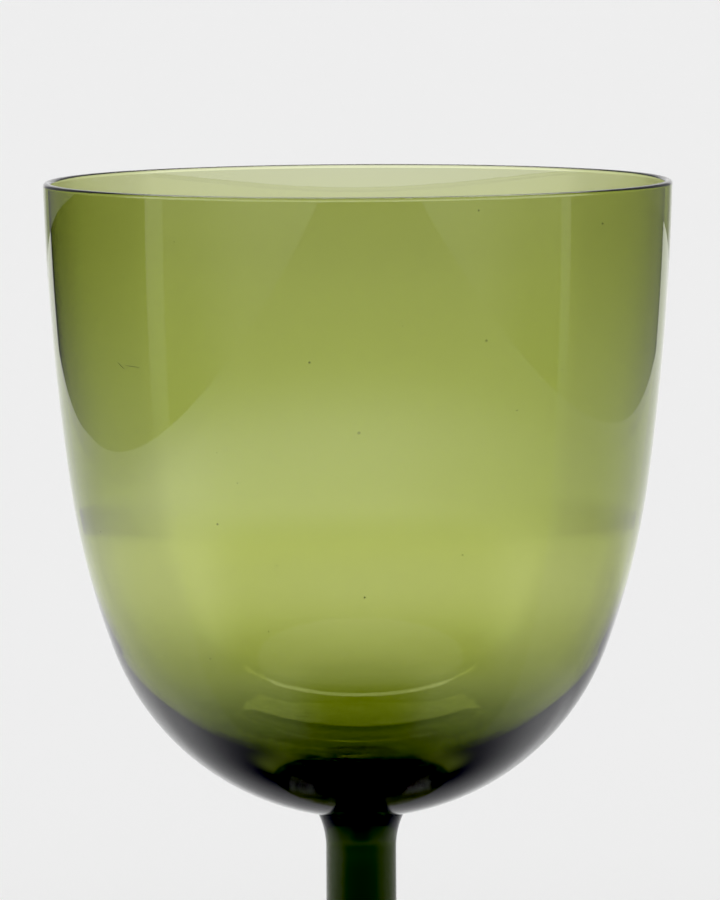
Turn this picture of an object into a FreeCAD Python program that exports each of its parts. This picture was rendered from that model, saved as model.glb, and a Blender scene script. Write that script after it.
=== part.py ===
import FreeCAD, Part
import math
import os

# A short-stemmed wine glass in three fused pieces of glass: bowl, stem and foot.
# Millimetres, +Z up. The origin is on the axis, on the plane that the foot stands on.
# Each piece is one closed outline in the XZ plane, turned a full circle about Z.
# Outlines run downwards. A heading is the angle in degrees between the outline and
# the axis: 0 is upright and 90 is level. A bend is (radius, heading in, heading out).

TOTAL_HEIGHT = 120.0

# Bowl: the wall thins from the lip to a third of its height, and the base is thick.
RIM_RADIUS = 44.0
RIM_WALL = 1.08
BOWL_OUTER_DEPTH = 89.0
BOWL_INNER_DEPTH = 83.6
OUTER_BENDS = [(384.0, 1.6, 7.75), (113.5, 7.75, 20.1)]
INNER_BENDS = [(463.0, 2.3, 8.1), (71.0, 8.1, 23.6), (30.0, 23.6, 58.0)]

# Stem: a plain round rod that flares a little under the bowl and more above the foot.
STEM_RADIUS = 4.95
NECK_RADIUS = 6.1
NECK_BEND = 11.0
BASE_RADIUS = 8.0
BASE_BEND = 9.0

# Foot: a disc with a rounded edge, a gentle slope and a hollowed underside.
FOOT_RADIUS = 26.1
FOOT_EDGE = 2.0
FOOT_SLOPE = 6.0
REST_WIDTH = 4.6
KICK_UP = 1.1

AXIS_POINT = FreeCAD.Vector(0, 0, 0)
AXIS = FreeCAD.Vector(0, 0, 1)
INWARDS = -1
OUTWARDS = 1

# The lip is half a circle across the wall, and the bowl's depths are from its centre.
LIP_Z = TOTAL_HEIGHT - RIM_WALL / 2
BOWL_BOTTOM_Z = LIP_Z - BOWL_OUTER_DEPTH
CAVITY_BOTTOM_Z = LIP_Z - BOWL_INNER_DEPTH


def point(r, z):
    return FreeCAD.Vector(r, 0, z)


def line(start, end):
    return Part.LineSegment(start, end).toShape()


def arc(start, middle, end):
    return Part.Arc(start, middle, end).toShape()


def turned(edges):
    """The solid that a closed outline makes when it turns about the axis."""
    outline = Part.Wire(Part.__sortEdges__(edges))
    solid = Part.Face(outline).revolve(AXIS_POINT, AXIS, 360)
    if solid.Volume < 0:
        solid.reverse()
    return solid


def bend(start, radius, heading_in, heading_out, side):
    """An arc going down and to one side, and the point where it ends."""
    turn = 1 if heading_out > heading_in else -1

    def at(heading):
        across = math.cos(math.radians(heading_in)) - math.cos(math.radians(heading))
        down = math.sin(math.radians(heading)) - math.sin(math.radians(heading_in))
        return point(start.x + side * turn * radius * across, start.z - turn * radius * down)

    end = at(heading_out)
    return arc(start, at((heading_in + heading_out) / 2), end), end


def flare_heading(wide_radius, bend_radius):
    """The heading at the wide end of a flare that starts upright on the stem."""
    return math.degrees(math.acos(1 - (wide_radius - STEM_RADIUS) / bend_radius))


def cap_radius(edge, apex_z):
    rise = abs(apex_z - edge.z)
    return (edge.x ** 2 + rise ** 2) / (2 * rise)


def cap(edge, apex_z):
    """An arc from an edge point to the axis, level at the axis, so that it turns into a sphere."""
    radius = cap_radius(edge, apex_z)
    up = 1 if apex_z > edge.z else -1
    half_angle = math.asin(edge.x / radius) / 2
    middle = point(radius * math.sin(half_angle), apex_z - up * radius * (1 - math.cos(half_angle)))
    return arc(edge, middle, point(0, apex_z))


def wall_side(lip, bends, bottom_z):
    """One side of the bowl's wall, from the lip to the axis, and where its base cap starts."""
    edges = []
    here = lip
    for radius, heading_in, heading_out in bends:
        edge, here = bend(here, radius, heading_in, heading_out, INWARDS)
        edges.append(edge)
    edges.append(cap(here, bottom_z))
    return edges, here


def bowl():
    """An egg-shaped cup with a fire-rounded lip, and the radius of its base cap."""
    outer_lip = point(RIM_RADIUS, LIP_Z)
    inner_lip = point(RIM_RADIUS - RIM_WALL, LIP_Z)
    lip_top = point(RIM_RADIUS - RIM_WALL / 2, TOTAL_HEIGHT)
    outer, cap_start = wall_side(outer_lip, OUTER_BENDS, BOWL_BOTTOM_Z)
    inner, _ = wall_side(inner_lip, INNER_BENDS, CAVITY_BOTTOM_Z)
    axis_edge = line(point(0, BOWL_BOTTOM_Z), point(0, CAVITY_BOTTOM_Z))
    lip = arc(inner_lip, lip_top, outer_lip)
    return turned(outer + [axis_edge] + inner + [lip]), cap_radius(cap_start, BOWL_BOTTOM_Z)


def foot_top():
    """The foot's upper side, from the stem's base to the rounded edge."""
    edge_top = point(FOOT_RADIUS - FOOT_EDGE / 2, FOOT_EDGE)
    heading_in = flare_heading(BASE_RADIUS, BASE_BEND)
    sweep, sweep_end = bend(point(BASE_RADIUS, 0), BASE_BEND, heading_in, 90 - FOOT_SLOPE, OUTWARDS)
    slope_drop = (edge_top.x - sweep_end.x) * math.tan(math.radians(FOOT_SLOPE))
    seat_z = edge_top.z + slope_drop - sweep_end.z
    lift = FreeCAD.Vector(0, 0, seat_z)
    sweep.translate(lift)
    return [sweep, line(sweep_end + lift, edge_top)], edge_top, seat_z


def foot():
    """The foot, and the height of its level seat for the stem."""
    upper, edge_top, seat_z = foot_top()
    edge_side = point(FOOT_RADIUS, FOOT_EDGE / 2)
    rest_outer = point(edge_top.x, 0)
    rest_inner = point(edge_top.x - REST_WIDTH, 0)
    edges = [line(point(0, seat_z), point(BASE_RADIUS, seat_z))] + upper
    edges += [arc(edge_top, edge_side, rest_outer), line(rest_outer, rest_inner)]
    edges += [cap(rest_inner, KICK_UP), line(point(0, KICK_UP), point(0, seat_z))]
    return turned(edges), seat_z


def stem(bowl_cap_radius, seat_z):
    """The stem. Its top is hollowed to the curve of the bowl's base."""
    neck_drop = math.sqrt(bowl_cap_radius ** 2 - NECK_RADIUS ** 2)
    neck = point(NECK_RADIUS, BOWL_BOTTOM_Z + bowl_cap_radius - neck_drop)
    neck_heading = flare_heading(NECK_RADIUS, NECK_BEND)
    base_heading = flare_heading(BASE_RADIUS, BASE_BEND)
    neck_flare, rod_top = bend(neck, NECK_BEND, neck_heading, 0, INWARDS)
    rod_bottom = point(STEM_RADIUS, seat_z + BASE_BEND * math.sin(math.radians(base_heading)))
    base_flare, base = bend(rod_bottom, BASE_BEND, 0, base_heading, OUTWARDS)
    edges = [cap(neck, BOWL_BOTTOM_Z), neck_flare, line(rod_top, rod_bottom), base_flare]
    edges += [line(base, point(0, seat_z)), line(point(0, seat_z), point(0, BOWL_BOTTOM_Z))]
    return turned(edges)


def main():
    os.makedirs("parts", exist_ok=True)
    bowl_solid, bowl_cap_radius = bowl()
    foot_solid, seat_z = foot()
    pieces = {"bowl": bowl_solid, "stem": stem(bowl_cap_radius, seat_z), "foot": foot_solid}
    print("bowl base cap radius", round(bowl_cap_radius, 3), "stem seat height", round(seat_z, 3))
    for name, solid in pieces.items():
        print(name, "valid", solid.isValid(), "volume", round(solid.Volume, 1), "mm3")
        solid.exportStep("parts/" + name + ".step")


main()
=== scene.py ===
# %% [markdown]
# # A short-stemmed wine glass in olive green glass
# The real one is hot glass, worked by hand. A bowl is blown, a stem is drawn and fused
# under it, and a foot is pressed onto the stem. It has no moving parts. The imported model
# is loaded first, and every piece below replaces one of its plain solids.

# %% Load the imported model
import math
import random

import bmesh
import bpy
from mathutils import Matrix, Vector
from mathutils.bvhtree import BVHTree


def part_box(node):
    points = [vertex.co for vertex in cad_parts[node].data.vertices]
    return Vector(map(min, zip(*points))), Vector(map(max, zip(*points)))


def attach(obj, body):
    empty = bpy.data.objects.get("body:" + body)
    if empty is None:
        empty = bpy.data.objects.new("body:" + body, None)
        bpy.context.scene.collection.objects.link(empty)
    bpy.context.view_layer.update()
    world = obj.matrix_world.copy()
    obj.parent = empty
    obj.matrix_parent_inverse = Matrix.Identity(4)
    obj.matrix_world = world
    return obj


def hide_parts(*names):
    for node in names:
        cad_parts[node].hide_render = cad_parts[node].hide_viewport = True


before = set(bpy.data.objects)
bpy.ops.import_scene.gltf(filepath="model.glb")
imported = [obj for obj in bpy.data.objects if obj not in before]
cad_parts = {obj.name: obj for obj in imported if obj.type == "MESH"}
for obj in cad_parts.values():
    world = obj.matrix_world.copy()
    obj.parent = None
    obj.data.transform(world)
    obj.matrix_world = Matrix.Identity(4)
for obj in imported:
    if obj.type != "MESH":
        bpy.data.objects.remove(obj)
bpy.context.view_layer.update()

MM = 0.001

# %% [markdown]
# ## The driving sizes
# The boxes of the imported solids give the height, the rim and the foot. The curves could be
# traced as many small points, but a glassmaker swings a few smooth bends, so each curve is
# a radius and the two headings that it turns between. A heading is the angle in degrees
# between the glass and the upright axis, read going down the outline.

# %% Sizes of the bowl
_, bowl_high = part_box("bowl")
TOTAL_HEIGHT = bowl_high[2]
RIM_RADIUS = bowl_high[0]
RIM_WALL = 1.08 * MM
LIP_Z = TOTAL_HEIGHT - RIM_WALL / 2
BOWL_BOTTOM_Z = LIP_Z - 89.0 * MM
CAVITY_BOTTOM_Z = LIP_Z - 83.6 * MM
OUTER_BENDS = [(384.0 * MM, 1.6, 7.75), (113.5 * MM, 7.75, 20.1)]
INNER_BENDS = [(463.0 * MM, 2.3, 8.1), (71.0 * MM, 8.1, 23.6), (30.0 * MM, 23.6, 58.0)]
print("height", round(TOTAL_HEIGHT / MM, 2), "rim radius", round(RIM_RADIUS / MM, 2))

# %% Sizes of the stem and the foot
_, foot_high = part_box("foot")
STEM_RADIUS = 4.95 * MM
NECK_RADIUS = 6.1 * MM
NECK_BEND = 11.0 * MM
BASE_RADIUS = 8.0 * MM
BASE_BEND = 9.0 * MM
FOOT_RADIUS = foot_high[0]
FOOT_EDGE = 2.0 * MM
FOOT_SLOPE = 6.0
REST_WIDTH = 4.6 * MM
KICK_UP = 1.1 * MM
SEAT_Z = foot_high[2]
print("foot radius", round(FOOT_RADIUS / MM, 2), "seat height", round(SEAT_Z / MM, 3))

# %% [markdown]
# ## The camera
# A long lens from a little above the rim, so that the rim is a narrow ellipse and the
# sides keep their true curve. The lens is aimed at the middle of the bowl, with no shift
# and no depth of field, and it is rolled by a third of a degree like a hand-set tripod.

# %% Camera
CAMERA_DISTANCE = 1.1
CAMERA_RISE = math.radians(3.1)
LENS = 393.7
AIM_BELOW_RIM = math.radians(1.9348)
ROLL = math.radians(-0.3)
lens = bpy.data.cameras.new("camera")
lens.sensor_fit = "HORIZONTAL"
lens.sensor_width = 36.0
lens.lens = LENS
lens.clip_end = 20
camera = bpy.data.objects.new("camera", lens)
bpy.context.scene.collection.objects.link(camera)
bpy.context.scene.camera = camera
camera.location = (0.13 * MM, -CAMERA_DISTANCE, LIP_Z + CAMERA_DISTANCE * math.tan(CAMERA_RISE))
tilt_down = CAMERA_RISE + AIM_BELOW_RIM
aim = Matrix.Rotation(math.pi / 2 - tilt_down, 4, "X") @ Matrix.Rotation(ROLL, 4, "Z")
camera.rotation_euler = aim.to_euler()
print("camera height", round(camera.location.z / MM, 1), "mm")

# %% [markdown]
# ## Drawing an outline
# All three pieces are bodies of revolution, as hot glass is turned while it is worked.
# A stack of rings or a scaled sphere would only come near the shape. Here an outline is
# drawn in the XZ plane with bmesh: a corner is spun about the centre of each bend, and the
# points that it leaves behind are the outline.

# %% Corners, bends and straight runs
INWARDS, OUTWARDS = -1, 1
FIRST_STEP = 0.05 * MM


def corner_at(outline, r, z):
    return outline.verts.new((r, 0, z))


def swing(outline, corner, centre, angle, steps):
    """Turns a corner about a centre, and gives back the last point that it leaves."""
    made = bmesh.ops.spin(outline, geom=[corner], cent=centre, axis=(0, 1, 0), angle=angle,
                          steps=steps, use_duplicate=False)
    return [g for g in made["geom_last"] if isinstance(g, bmesh.types.BMVert)][0]


def bend(outline, corner, radius, heading_in, heading_out, side, step=0.8 * MM):
    """An arc that goes down and to one side, from one heading to another.

    Its first step is tiny, so that the shading of what comes before it stays there."""
    turn = 1 if heading_out > heading_in else -1
    start = math.radians(heading_in)
    centre = corner.co + turn * radius * Vector((side * math.cos(start), 0, math.sin(start)))
    angle = math.radians(heading_out - heading_in)
    steps = max(6, math.ceil(abs(angle) * radius / step))
    first = math.copysign(FIRST_STEP / radius, angle)
    corner = swing(outline, corner, centre, -side * first, 1)
    return swing(outline, corner, centre, -side * (angle - first), steps)


def run_to(outline, corner, r, z, steps=1):
    """A straight run in equal steps."""
    start, end = corner.co.copy(), Vector((r, 0, z))
    for k in range(1, steps + 1):
        corner = bmesh.ops.extrude_vert_indiv(outline, verts=[corner])["verts"][0]
        corner.co = start.lerp(end, k / steps)
    return corner


# %% Caps, where an outline meets the axis
def cap_radius(edge, apex_z):
    rise = abs(apex_z - edge.z)
    return (edge.x ** 2 + rise ** 2) / (2 * rise)


def cap(outline, corner, apex_z, steps):
    """An arc to the axis that is level where it arrives, so that it turns into a dome."""
    radius = cap_radius(corner.co, apex_z)
    up = 1 if apex_z > corner.co.z else -1
    angle = math.asin(min(1, corner.co.x / radius))
    end = swing(outline, corner, (0, 0, apex_z - up * radius), -up * angle, steps)
    end.co = (0, 0, apex_z)
    return end


def flare_heading(wide_radius, bend_radius):
    """The heading at the wide end of a flare that starts upright on the stem."""
    return math.degrees(math.acos(1 - (wide_radius - STEM_RADIUS) / bend_radius))


print("neck flare turns", round(flare_heading(NECK_RADIUS, NECK_BEND), 1), "degrees")

# %% [markdown]
# ## Turning an outline, and finishing a piece
# One full spin about the axis makes the body, and its two ends are merged so that there is
# no seam. Normals are worked out after the doubles are merged. A finished piece replaces
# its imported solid, rides on the one rigid body and fills the slot for olive glass.

# %% The lathe
TURN_STEPS = 256


def turn_on_axis(outline, steps=TURN_STEPS):
    bmesh.ops.remove_doubles(outline, verts=outline.verts[:], dist=1e-7)
    bmesh.ops.spin(outline, geom=outline.verts[:] + outline.edges[:], cent=(0, 0, 0),
                   axis=(0, 0, 1), angle=math.tau, steps=steps, use_merge=True)
    bmesh.ops.remove_doubles(outline, verts=outline.verts[:], dist=1e-7)
    bmesh.ops.recalc_face_normals(outline, faces=outline.faces[:])


# %% A finished piece
CREASE = math.radians(25)


def finish_glass(body, name, node, finishes):
    for face in body.faces:
        face.smooth = True
    for edge in body.edges:
        edge.smooth = edge.calc_face_angle(0) < CREASE
    open_edges = sum(1 for edge in body.edges if not edge.is_manifold)
    mesh = bpy.data.meshes.new(name)
    body.to_mesh(mesh)
    body.free()
    piece = bpy.data.objects.new(name, mesh)
    bpy.context.scene.collection.objects.link(piece)
    for finish in finishes:
        mesh.materials.append(finish)
    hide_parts(node)
    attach(piece, "root")
    print(name, len(mesh.polygons), "faces,", open_edges, "open edges")
    return piece


# %% [markdown]
# ## The olive glass
# Common soda-lime glass, coloured all through with iron and chrome. Painting its surface
# green would look like a coating, so the surface stays clear and the inside absorbs light:
# a thin lip is then pale, and the thick base is nearly black, with no extra work. One
# millimetre of this glass passes 63 % of red, 67 % of green and 35 % of blue, and the
# index of refraction is that of soda-lime glass, 1.52.

# %% One function adds a node with its settings and links
def add(tree, kind, links=None, **settings):
    node = tree.nodes.new(kind)
    for key, value in settings.items():
        setattr(node, key, value)
    for socket, value in (links or {}).items():
        target = node.inputs[socket]
        if isinstance(value, bpy.types.NodeSocket):
            tree.links.new(value, target)
        else:
            target.default_value = value
    return node


def linear(hex_colour):
    """An sRGB hex colour as the linear numbers that a shader takes."""
    values = []
    for k in (0, 2, 4):
        c = int(hex_colour[k:k + 2], 16) / 255
        values.append(c / 12.92 if c <= 0.04045 else ((c + 0.055) / 1.055) ** 2.4)
    return tuple(values) + (1.0,)


# %% The glass itself: a clear surface and a coloured inside
SODA_LIME_IOR = 1.52
ABSORBED_PER_METRE = (460.0, 400.0, 1060.0)
DENSITY = 1300.0
CLEAR = linear("FFFFFF")


def melt(name, ior):
    """A material with a smooth clear surface over the olive colour."""
    material = bpy.data.materials.new(name)
    material.use_nodes = True
    tree = material.node_tree
    tree.nodes.clear()
    surface = add(tree, "ShaderNodeBsdfPrincipled", {"Base Color": CLEAR, "Roughness": 0.0,
                                                     "IOR": ior, "Transmission Weight": 1.0})
    colour = tuple(1 - a / DENSITY for a in ABSORBED_PER_METRE) + (1.0,)
    inside = add(tree, "ShaderNodeVolumeAbsorption", {"Color": colour, "Density": DENSITY})
    ends = {"Surface": surface.outputs[0], "Volume": inside.outputs[0]}
    add(tree, "ShaderNodeOutputMaterial", ends)
    return material, tree, surface


print("passed by 1 mm", [round(math.exp(-a * MM), 2) for a in ABSORBED_PER_METRE])

# %% [markdown]
# ## Three finishes of the same glass
# The blown bowl is fire-polished: mirror smooth, but with long shallow waves from the blowing
# and finer rings from turning on the iron. Its reflections bend a little instead of running
# dead straight. The drawn stem has waves along its length. The pressed foot is smooth
# on top, and the ring that it stands on is scuffed to a light frost. Each is a bump of
# between two ten-thousandths and twelve thousandths of a millimetre, on the piece's own
# Object coordinates. The stem's shine is also dimmed by a grey tint. Real glass hasn't got
# one: it was chosen because the light in this room made the stem too pale.

# %% Waves in the surface
def stretched_noise(tree, across, along):
    """Noise whose waves are so many metres wide across the axis and along it."""
    place = add(tree, "ShaderNodeTexCoord").outputs["Object"]
    scale = (1 / across, 1 / across, 1 / along)
    mapped = add(tree, "ShaderNodeMapping", {"Vector": place, "Scale": scale})
    links = {"Vector": mapped.outputs[0], "Scale": 1.0, "Detail": 0.0}
    return add(tree, "ShaderNodeTexNoise", links).outputs[0]


def wave(tree, surface, height, depth):
    """Bumps the surface, on top of any waves that it already has."""
    links = {"Height": height, "Strength": 1.0, "Distance": depth}
    if surface.inputs["Normal"].is_linked:
        links["Normal"] = surface.inputs["Normal"].links[0].from_socket
    tree.links.new(add(tree, "ShaderNodeBump", links).outputs[0], surface.inputs["Normal"])


# %% Blown, drawn and pressed glass
DIMMED_SHINE = linear("8C8C8C")
blown_olive, tree, surface = melt("olive_soda_lime_glass_blown_and_fire_polished", SODA_LIME_IOR)
wave(tree, surface, stretched_noise(tree, 30 * MM, 22 * MM), 0.007 * MM)
wave(tree, surface, stretched_noise(tree, 40 * MM, 3.5 * MM), 0.0002 * MM)

drawn_olive, tree, surface = melt("olive_soda_lime_glass_drawn_into_a_rod", SODA_LIME_IOR)
surface.inputs["Specular Tint"].default_value = DIMMED_SHINE
wave(tree, surface, stretched_noise(tree, 3 * MM, 25 * MM), 0.004 * MM)

pressed_olive, tree, surface = melt("olive_soda_lime_glass_pressed_and_scuffed_below", SODA_LIME_IOR)
wave(tree, surface, stretched_noise(tree, 18 * MM, 18 * MM), 0.012 * MM)
place = add(tree, "ShaderNodeTexCoord").outputs["Object"]
height = add(tree, "ShaderNodeSeparateXYZ", {0: place}).outputs[2]
grit = add(tree, "ShaderNodeTexNoise", {"Vector": place, "Scale": 1 / (0.6 * MM), "Detail": 2.0}).outputs[0]
near_table = add(tree, "ShaderNodeMapRange", {"Value": height, "From Min": 0.0, "From Max": 0.12 * MM,
                                              "To Min": 0.4, "To Max": 0.0}).outputs[0]
scuff = add(tree, "ShaderNodeMath", {0: near_table, 1: grit}, operation="MULTIPLY").outputs[0]
tree.links.new(scuff, surface.inputs["Roughness"])

# %% [markdown]
# ## The hot joins
# Where two pieces are fused there is no surface left, only glass. The pieces are still
# separate bodies here, so the faces that meet get an index of refraction of 1, which
# neither bends nor reflects light. They stand a hundredth of a millimetre apart, so
# that the two colourings never overlap.

# %% The finish inside a join
JOIN_GAP = 0.01 * MM
IOR_INSIDE_A_JOIN = 1.0
fused_join, _, _ = melt("fused_join_inside_the_glass", IOR_INSIDE_A_JOIN)
print("finishes", [m.name for m in (blown_olive, drawn_olive, pressed_olive, fused_join)])

# %% [markdown]
# ## The blown bowl
# A gather of glass is blown to an egg shape, cracked off and fire-polished, so the lip is
# round and the base is left thick and heavy. A sphere with a wall from Solidify would have
# the same thickness everywhere, so both sides are drawn: outside to the axis, inside to the
# axis, and half a circle over the lip. The neck's edge is a point of the outline, because
# the faces inside it are the hot join.

# %% Outline of the bowl
body = bmesh.new()
here = corner_at(body, RIM_RADIUS, LIP_Z)
for radius, heading_in, heading_out in OUTER_BENDS:
    here = bend(body, here, radius, heading_in, heading_out, INWARDS)
BASE_CAP = cap_radius(here.co, BOWL_BOTTOM_Z)
cap_centre = Vector((0, 0, BOWL_BOTTOM_Z + BASE_CAP))
NECK_ANGLE = math.asin(NECK_RADIUS / BASE_CAP)
NECK_Z = cap_centre.z - BASE_CAP * math.cos(NECK_ANGLE)
here = swing(body, here, cap_centre, math.asin(here.co.x / BASE_CAP) - NECK_ANGLE, 56)
here = swing(body, here, cap_centre, NECK_ANGLE, 8)
here.co = (0, 0, BOWL_BOTTOM_Z)
here = corner_at(body, RIM_RADIUS - RIM_WALL, LIP_Z)
for radius, heading_in, heading_out in INNER_BENDS:
    here = bend(body, here, radius, heading_in, heading_out, INWARDS)
cap(body, here, CAVITY_BOTTOM_Z, 36)
lip = corner_at(body, RIM_RADIUS - RIM_WALL, LIP_Z)
swing(body, lip, (RIM_RADIUS - RIM_WALL / 2, 0, LIP_Z), math.pi, 12)
turn_on_axis(body)
for face in body.faces:
    middle = face.calc_center_median()
    face.material_index = int(middle.z < NECK_Z and middle.xy.length < NECK_RADIUS)
print("base cap radius", round(BASE_CAP / MM, 2), "faces", len(body.faces))

# %% [markdown]
# ## A wall that isn't quite even
# Breath never pushes a gather out evenly. Here the hollow sits a third of a millimetre off
# the axis at the rim and comes back to the axis lower down, so one side of the lip is
# paler than the other. The outside keeps its true circle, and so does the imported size.

# %% Move the hollow off centre near the rim
HOLLOW_SHIFT = 0.33 * MM
SHIFT_FROM_Z, SHIFT_TO_Z = 62.0 * MM, 108.0 * MM
for vert in body.verts:
    share = min(1.0, max(0.0, (vert.co.z - SHIFT_FROM_Z) / (SHIFT_TO_Z - SHIFT_FROM_Z)))
    share = share * share * (3 - 2 * share)
    sideways = Vector((vert.co.x, vert.co.y, 0))
    on_inside = any(face.normal.dot(sideways) < 0 for face in vert.link_faces)
    on_lip = vert.co.z > LIP_Z - 1e-6
    if on_lip:
        share *= min(1.0, max(0.0, (RIM_RADIUS - vert.co.xy.length) / RIM_WALL))
    if on_lip or on_inside:
        vert.co.y += HOLLOW_SHIFT * share
rim_walls = [round((RIM_WALL + s * HOLLOW_SHIFT) / MM, 2) for s in (1, -1)]
print("wall at the front and back of the rim", rim_walls)

# %% [markdown]
# ## Seeds and stones
# Glassmakers call tiny bubbles seeds, and grains that never melted stones. A pattern of dots
# in the colour would lie on the surface like paint, so both are small balls inside the
# wall. A seed is a hollow, so its faces point into its own middle. A stone is solid and
# dark. A ray through the wall finds where the glass starts and ends, and the ball goes
# in between. The stones are placed one by one where the eye meets them, by a bearing round the
# bowl and a height, and the seeds are strewn by a fixed random seed.

# %% Unmelted grit: dull, and dark brown green from iron and chrome
grit_stone = bpy.data.materials.new("unmelted_chrome_grit_in_the_glass")
grit_stone.use_nodes = True
tree = grit_stone.node_tree
tree.nodes.clear()
place = add(tree, "ShaderNodeTexCoord").outputs["Object"]
speckle = add(tree, "ShaderNodeTexNoise", {"Vector": place, "Scale": 1 / (0.1 * MM)}).outputs[0]
browns = {0: speckle, 6: linear("1E2210"), 7: linear("3A3E1C")}
shades = add(tree, "ShaderNodeMix", browns, data_type="RGBA")
surface = add(tree, "ShaderNodeBsdfPrincipled", {"Base Color": shades.outputs[2], "Roughness": 0.8})
add(tree, "ShaderNodeOutputMaterial", {"Surface": surface.outputs[0]})
print("stone finish", grit_stone.name)

# %% A ball in the wall
walls = BVHTree.FromBMesh(body)
STONE_SLOT = 2


def set_in_wall(body, bearing, height, radius, stretch=1.0, lean=0.0, depth=0.5):
    """The bearing is in degrees from the front, towards the right. Gives back the ball's faces."""
    turn = Matrix.Rotation(math.radians(bearing), 4, "Z")
    outwards = turn @ Vector((0, -1, 0))
    inner = walls.ray_cast(Vector((0, 0, height)), outwards)[0]
    outer = walls.ray_cast(inner + outwards * 0.1 * MM, outwards)[0]
    shape = turn @ Matrix.Rotation(math.radians(lean), 4, "Y") @ Matrix.Diagonal((stretch, 1, 1, 1))
    made = bmesh.ops.create_icosphere(body, subdivisions=2, radius=radius,
                                      matrix=Matrix.Translation(inner.lerp(outer, depth)) @ shape)
    return list({face for vert in made["verts"] for face in vert.link_faces})


# %% Stones where the eye meets them, and a tick drawn by two slivers of grit
STONES = [(-35, 113.7), (22, 118), (50, 115.4), (8, 102.6), (24, 100.3), (-9, 97.7), (41, 95.8),
          (31, 90.6), (0, 88.1), (-28, 85.1), (-24, 81), (-29, 75.2), (21, 71), (-65, 72.5),
          (1, 65.4), (-20, 60.4), (-36, 56.1)]
stone_faces = []
for number, (bearing, height) in enumerate(STONES):
    stone_faces += set_in_wall(body, bearing, height * MM, (0.08 + 0.02 * (number % 3)) * MM)
stone_faces += set_in_wall(body, -49.8, 96.3 * MM, 0.05 * MM, stretch=18, lean=30, depth=0.8)
stone_faces += set_in_wall(body, -46.5, 96.3 * MM, 0.035 * MM, stretch=46, lean=3, depth=0.8)
for face in stone_faces:
    face.material_index = STONE_SLOT
print(len(STONES), "stones")

# %% Seeds strewn all round
SEEDS = 60
draw = random.Random(7)
for _ in range(SEEDS):
    bearing, height = draw.uniform(-180, 180), draw.uniform(50, 116)
    radius, stretch = draw.uniform(0.06, 0.1), draw.uniform(1, 1.6)
    faces = set_in_wall(body, bearing, height * MM, radius * MM, stretch)
    bmesh.ops.reverse_faces(body, faces=faces)
bowl = finish_glass(body, "blown_bowl", "bowl", [blown_olive, fused_join, grit_stone])

# %% [markdown]
# ## The pressed foot
# A disc of hot glass is pressed onto the stem's end and spun flat, so its top sweeps up to
# the stem in one curve, its edge is round, and its underside is hollowed so that it
# stands on a ring and doesn't rock. The whole outline is one line from the seat to the axis
# below, and the seat is the hot join.

# %% Outline of the foot
BASE_HEADING = flare_heading(BASE_RADIUS, BASE_BEND)
EDGE_RADIUS = FOOT_RADIUS - FOOT_EDGE / 2
body = bmesh.new()
seat_edge = corner_at(body, BASE_RADIUS, SEAT_Z)
sweep_end = bend(body, seat_edge, BASE_BEND, BASE_HEADING, 90 - FOOT_SLOPE, OUTWARDS, 0.4 * MM)
slope_end = run_to(body, sweep_end, EDGE_RADIUS, FOOT_EDGE, 10)
rest = swing(body, slope_end, (EDGE_RADIUS, 0, FOOT_EDGE / 2), math.pi, 16)
hollow_edge = run_to(body, rest, EDGE_RADIUS - REST_WIDTH, 0, 3)
cap(body, hollow_edge, KICK_UP, 20)
run_to(body, seat_edge, 0, SEAT_Z, 6)
turn_on_axis(body)
for face in body.faces:
    middle = face.calc_center_median()
    face.material_index = int(middle.xy.length < BASE_RADIUS and middle.z > SEAT_Z - 0.001 * MM)
foot = finish_glass(body, "pressed_foot", "foot", [pressed_olive, fused_join])

# %% [markdown]
# ## The drawn stem
# A rod of the same glass, drawn out and fused at both ends. It flares a little under the
# bowl and more above the foot. Its top is hollowed to the curve of the bowl, so that no
# gap shows from any side. Both ends are hot joins.

# %% Outline of the stem
body = bmesh.new()
neck = corner_at(body, NECK_RADIUS, NECK_Z - JOIN_GAP)
here = bend(body, neck, NECK_BEND, flare_heading(NECK_RADIUS, NECK_BEND), 0, INWARDS, 0.25 * MM)
rod_bottom = SEAT_Z + BASE_BEND * math.sin(math.radians(BASE_HEADING))
here = run_to(body, here, STEM_RADIUS, rod_bottom, 20)
here = bend(body, here, BASE_BEND, 0, BASE_HEADING, OUTWARDS, 0.3 * MM)
here.co.z = SEAT_Z + JOIN_GAP
run_to(body, here, 0, SEAT_Z + JOIN_GAP, 6)
hollow = corner_at(body, NECK_RADIUS, NECK_Z - JOIN_GAP)
top = swing(body, hollow, cap_centre - Vector((0, 0, JOIN_GAP)), NECK_ANGLE, 8)
top.co.x = 0
turn_on_axis(body)
for face in body.faces:
    low = face.normal.z < -0.99
    high = face.normal.z > 0.9 and face.calc_center_median().z > NECK_Z - 1.0 * MM
    face.material_index = int(low or high)
stem = finish_glass(body, "drawn_stem", "stem", [drawn_olive, fused_join])

# %% [markdown]
# ## The studio
# The glass stands on a sheet of matt white paper that curves up into the walls, so there is
# no horizon behind it. Clear glass has almost no look of its own: it shows what stands
# round it. A glass photographer lights the paper behind evenly and keeps black cards at
# the sides, which draw the dark edges. Building every lamp and card as an object would put
# them in the way, so the bowl-shaped room carries their light itself, and only the rays
# that the glass sends out see it. The eye sees plain paper from anywhere inside the room.
# The room is 2.1 m in radius, and from further out only its grey outside is seen.

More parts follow.
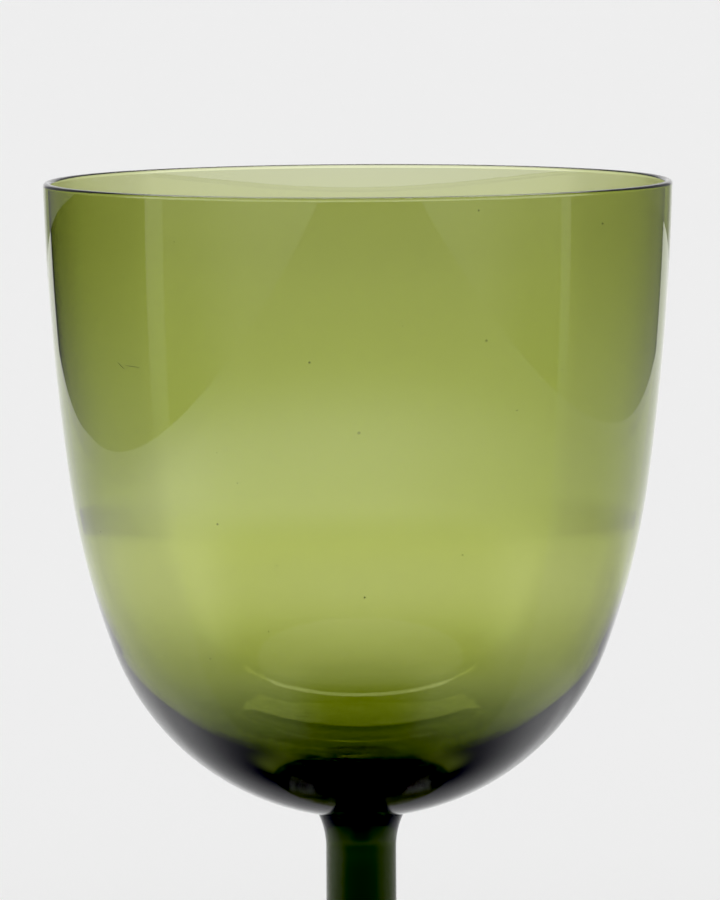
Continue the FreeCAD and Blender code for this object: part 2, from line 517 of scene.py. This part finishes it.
# %% The paper and the walls
scene = bpy.context.scene
PAPER_RADIUS, SWEEP_BEND, WALL_HEIGHT = 1.5, 0.6, 1.6
ROOM_RADIUS = PAPER_RADIUS + SWEEP_BEND
PAPER_BELOW_FOOT = 0.02 * MM
body = bmesh.new()
here = corner_at(body, 0, 0)
here = run_to(body, here, PAPER_RADIUS, 0, 30)
here = swing(body, here, (PAPER_RADIUS, 0, SWEEP_BEND), -math.pi / 2, 24)
here = run_to(body, here, ROOM_RADIUS, WALL_HEIGHT, 4)
here = swing(body, here, (0, 0, WALL_HEIGHT), -math.pi / 2, 32)
here.co.x = 0
bmesh.ops.translate(body, verts=body.verts[:], vec=(0, 0, -PAPER_BELOW_FOOT))
turn_on_axis(body, 96)
bmesh.ops.reverse_faces(body, faces=body.faces[:])
for face in body.faces:
    face.smooth = True
mesh = bpy.data.meshes.new("studio")
body.to_mesh(mesh)
body.free()
studio = bpy.data.objects.new("studio", mesh)
scene.collection.objects.link(studio)
print("studio", len(mesh.polygons), "faces")

# %% [markdown]
# ## Sums for the light on the paper
# The pattern of light is sums on the place of a point in the room: x to the right, y away
# from the front, z up, in metres. These few helpers keep the sums short to read.

# %% Sums
paper = bpy.data.materials.new("matt_white_paper_sweep")
paper.use_nodes = True
tree = paper.node_tree
tree.nodes.clear()


def calc(operation, a, b=0.0):
    return add(tree, "ShaderNodeMath", {0: a, 1: b}, operation=operation).outputs[0]


def rise(value, low, high):
    """Goes smoothly from 0 to 1 between two values."""
    return add(tree, "ShaderNodeMapRange", {"Value": value, "From Min": low, "From Max": high},
               interpolation_type="SMOOTHSTEP").outputs[0]


def times(first, *others):
    for other in others:
        first = calc("MULTIPLY", first, other)
    return first


def plus(first, *others):
    for other in others:
        first = calc("ADD", first, other)
    return first


def less(part):
    return calc("SUBTRACT", 1.0, part)


def bell(value, centre, width):
    away = calc("DIVIDE", calc("SUBTRACT", value, centre), width)
    return calc("EXPONENT", times(away, away, -1.0))


# %% Where a point of the room is
place = add(tree, "ShaderNodeNewGeometry").outputs["Position"]
x, y, z = add(tree, "ShaderNodeSeparateXYZ", {0: place}).outputs
reach = calc("MAXIMUM", calc("SQRT", plus(times(x, x), times(y, y))), 0.001)
width = calc("MAXIMUM", calc("ABSOLUTE", x), 0.001)
ahead = calc("DIVIDE", y, reach)
aside = calc("DIVIDE", x, reach)
lift = calc("DIVIDE", calc("SUBTRACT", z, 0.06), reach)
front_y = calc("MINIMUM", y, 0.0)
back_y = calc("MAXIMUM", y, 0.0)

# %% [markdown]
# ## Light on the table
# The light and shade on the table are painted into the paper's glow, for rays that have been
# reflected. Round the foot a painted shadow stands for the glass's own shade. A bright patch
# of painted light lies where a lamp in front would light the paper, most of it before the
# glass and to the left. The lit sheet ends at both sides, and beyond its edges the bare table
# falls off to black, which draws the dark zones on the bowl's shoulders. A slot between two
# cards lets a stripe of light out to each side. A painted dark arc lies in front of the stem
# and a painted dark spot in front of the foot. Painted shade makes the sheet a little dimmer
# to the right, and painted light makes the patch brighter in its left front corner.

# %% Table
# Painted shadow of the glass: the paper's glow darkens towards the foot.
near_shade = rise(reach, 0.02, 0.085)
back_shade = add(tree, "ShaderNodeMapRange", {"Value": plus(reach, times(back_y, 0.9)),
                                              "From Min": -0.01, "From Max": 0.18}).outputs[0]
backwards = rise(ahead, 0.3, 0.8)
painted_table_shade = plus(times(backwards, back_shade), times(less(backwards), near_shade))
# Painted shade: a dark arc in front of the stem and a dark spot in front of the foot.
painted_dark_arc_before_stem = times(rise(times(ahead, -1.0), 0.35, 0.75), rise(reach, 0.075, 0.11),
                 less(rise(reach, 0.165, 0.24)))
painted_dark_spot_before_foot = times(rise(times(ahead, -1.0), 0.8, 0.98), less(rise(reach, 0.06, 0.1)))
painted_table_shade = times(painted_table_shade, less(painted_dark_arc_before_stem), less(painted_dark_spot_before_foot))
# Painted shade that dims the sheet a little to the right.
right_shade = times(rise(aside, 0.1, 0.7), rise(reach, 0.1, 0.14),
                    less(rise(reach, 0.24, 0.36)), 0.28)
fall_off = calc("EXPONENT", times(front_y, front_y, -0.8))
sheet = times(plus(0.89, times(rise(reach, 0.2, 0.35), 0.13)), fall_off, less(right_shade))
# Painted light: a bright patch on the paper before the glass, strongest to the left and in its left front
# corner.
corner_light = times(0.6, bell(ahead, -0.35, 0.3), rise(times(aside, -1.0), 0.0, 0.5))
painted_patch_share = plus(0.45, times(calc("MAXIMUM", ahead, 0.0), -0.9),
                   times(front_y, -0.55, calc("DIVIDE", 1.0, reach)),
                   times(aside, -0.25), corner_light)
painted_light_patch = times(bell(reach, 0.295, 0.087), calc("MAXIMUM", painted_patch_share, 0.0), 1.25)
lean = calc("DIVIDE", times(y, -1.0), width)
slot_edge = plus(0.245, times(aside, -0.035))
beside = calc("LESS_THAN", lean, slot_edge)
table = times(painted_table_shade, plus(sheet, painted_light_patch, times(less(beside), -0.16)))
far_front = plus(0.5, times(beside, 0.38), times(rise(times(ahead, -1.0), 0.4, 0.85), 0.35))

near_left = calc("MINIMUM", plus(0.372, times(y, 0.1)), 0.4)
left_edge = calc("MAXIMUM", near_left, times(y, 0.487))
right_edge = calc("MAXIMUM", 0.425, times(y, 0.567))
on_sheet = times(calc("GREATER_THAN", x, times(left_edge, -1.0)), calc("LESS_THAN", x, right_edge))
in_front = times(less(on_sheet), calc("GREATER_THAN", lean, 0.13))
bare = times(less(on_sheet), less(in_front))
dusk = plus(times(2.6, calc("EXPONENT", times(reach, -3.2))), times(rise(aside, 0.3, 0.6), 0.2))
ground = plus(times(on_sheet, table), times(in_front, far_front), times(bare, dusk))

# %% [markdown]
# ## Light in the room above
# A wide soft light stands in front, behind it the room is dim, and two soft boxes hang
# over and behind the glass. The small bright crescent and the pale patch in the
# bowl's base are the images of those two boxes.

# %% Room
REAR_BOX_LIGHT, TOP_BOX_LIGHT, LOW_BACK_LIGHT = 2.5, 3.6, 0.85
front = plus(0.3, times(rise(lift, 0.0, 0.04), 1.7), times(rise(lift, 0.08, 0.2), 0.9),
             times(rise(lift, 0.45, 1.0), -1.6), times(rise(lift, 1.0, 4.0), -0.8))
low_back = times(LOW_BACK_LIGHT, less(rise(lift, 0.6, 0.75)))
slope = calc("DIVIDE", y, calc("MAXIMUM", z, 0.05))
under_box = calc("LESS_THAN", width, times(z, 0.55))
rear_box = times(REAR_BOX_LIGHT, under_box, calc("GREATER_THAN", slope, 0.46),
                 calc("LESS_THAN", slope, 1.15))
top_box = times(TOP_BOX_LIGHT, calc("LESS_THAN", width, times(z, 0.8)), calc("GREATER_THAN", slope, 0.115),
                calc("LESS_THAN", slope, 0.17))
middle_back = rise(ahead, 0.93, 0.985)
back = plus(times(middle_back, low_back), times(less(middle_back), 0.25))
behind = rise(ahead, -0.1, 0.2)
room = plus(times(less(behind), front), times(behind, back), rear_box, top_box)
on_table = times(calc("LESS_THAN", z, 0.01), calc("LESS_THAN", reach, PAPER_RADIUS))
mirrored = plus(times(on_table, ground), times(less(on_table), room), 0.004)
through = plus(0.76, times(0.26, rise(reach, 0.05, 0.45), less(rise(reach, 1.05, 1.72))))

# %% [markdown]
# ## What the eye, the glass and its reflections see
# The eye sees half-matt, half-glowing paper, so that it is as even as an overlit sweep and
# still takes a soft shadow. Rays that have passed through the glass see the paper a little
# brighter in a wide ring. Rays that have been reflected see the cards and lamps, and two
# arcs of painted light beside the foot, tinted green as light is that has come through the glass.

# %% The paper's shader
PAPER_WHITE = 0.871
MATT_SHARE = 0.5
path = add(tree, "ShaderNodeLightPath")
matt = add(tree, "ShaderNodeBsdfDiffuse", {"Color": (MATT_SHARE, MATT_SHARE, MATT_SHARE, 1)})
glow = add(tree, "ShaderNodeEmission", {"Color": CLEAR, "Strength": PAPER_WHITE * (1 - MATT_SHARE)})
plain = add(tree, "ShaderNodeAddShader", {0: matt.outputs[0], 1: glow.outputs[0]})
passed = add(tree, "ShaderNodeEmission", {"Color": CLEAR, "Strength": through})
thrown = add(tree, "ShaderNodeEmission", {"Color": CLEAR, "Strength": mirrored})
# Painted light: two green-tinted arcs beside the foot, in place of light that has come through the glass.
painted_green_arcs_strength = times(bell(reach, 0.029, 0.006), less(rise(ahead, -0.1, 0.25)),
             less(rise(times(ahead, -1.0), 0.5, 0.8)), on_table, 0.5)
painted_green_arcs_glow = add(tree, "ShaderNodeEmission", {"Color": linear("E4FF6E"), "Strength": painted_green_arcs_strength})
thrown = add(tree, "ShaderNodeAddShader", {0: thrown.outputs[0], 1: painted_green_arcs_glow.outputs[0]})
after_glass = calc("GREATER_THAN", path.outputs["Transmission Depth"], 0.5)
after_shine = calc("GREATER_THAN", path.outputs["Glossy Depth"], 0.5)
seen = add(tree, "ShaderNodeMixShader", {0: after_glass, 1: plain.outputs[0], 2: passed.outputs[0]})
seen = add(tree, "ShaderNodeMixShader", {0: after_shine, 1: seen.outputs[0], 2: thrown.outputs[0]})
add(tree, "ShaderNodeOutputMaterial", {"Surface": seen.outputs[0]})
studio.data.materials.append(paper)
print("paper nodes", len(tree.nodes))

# %% [markdown]
# ## Tone
# Light goes back and forth in a thick wall many times, so the bounces are high. The plain
# view keeps the paper's white as it is. A print has a true black, which the
# deepest glass reaches, so the black level is raised by 1.1 per cent of white in red and
# green, and by 0.8 per cent in blue.

# %% Bounces and tone
BLACK_LEVELS = (0.011, 0.011, 0.008)
scene.cycles.max_bounces = 32
scene.cycles.transmission_bounces = 32
scene.cycles.glossy_bounces = 16
scene.cycles.transparent_max_bounces = 16
scene.view_settings.view_transform = "Standard"
scene.view_settings.use_curve_mapping = True
scene.view_settings.curve_mapping.black_level = BLACK_LEVELS
scene.view_settings.curve_mapping.update()
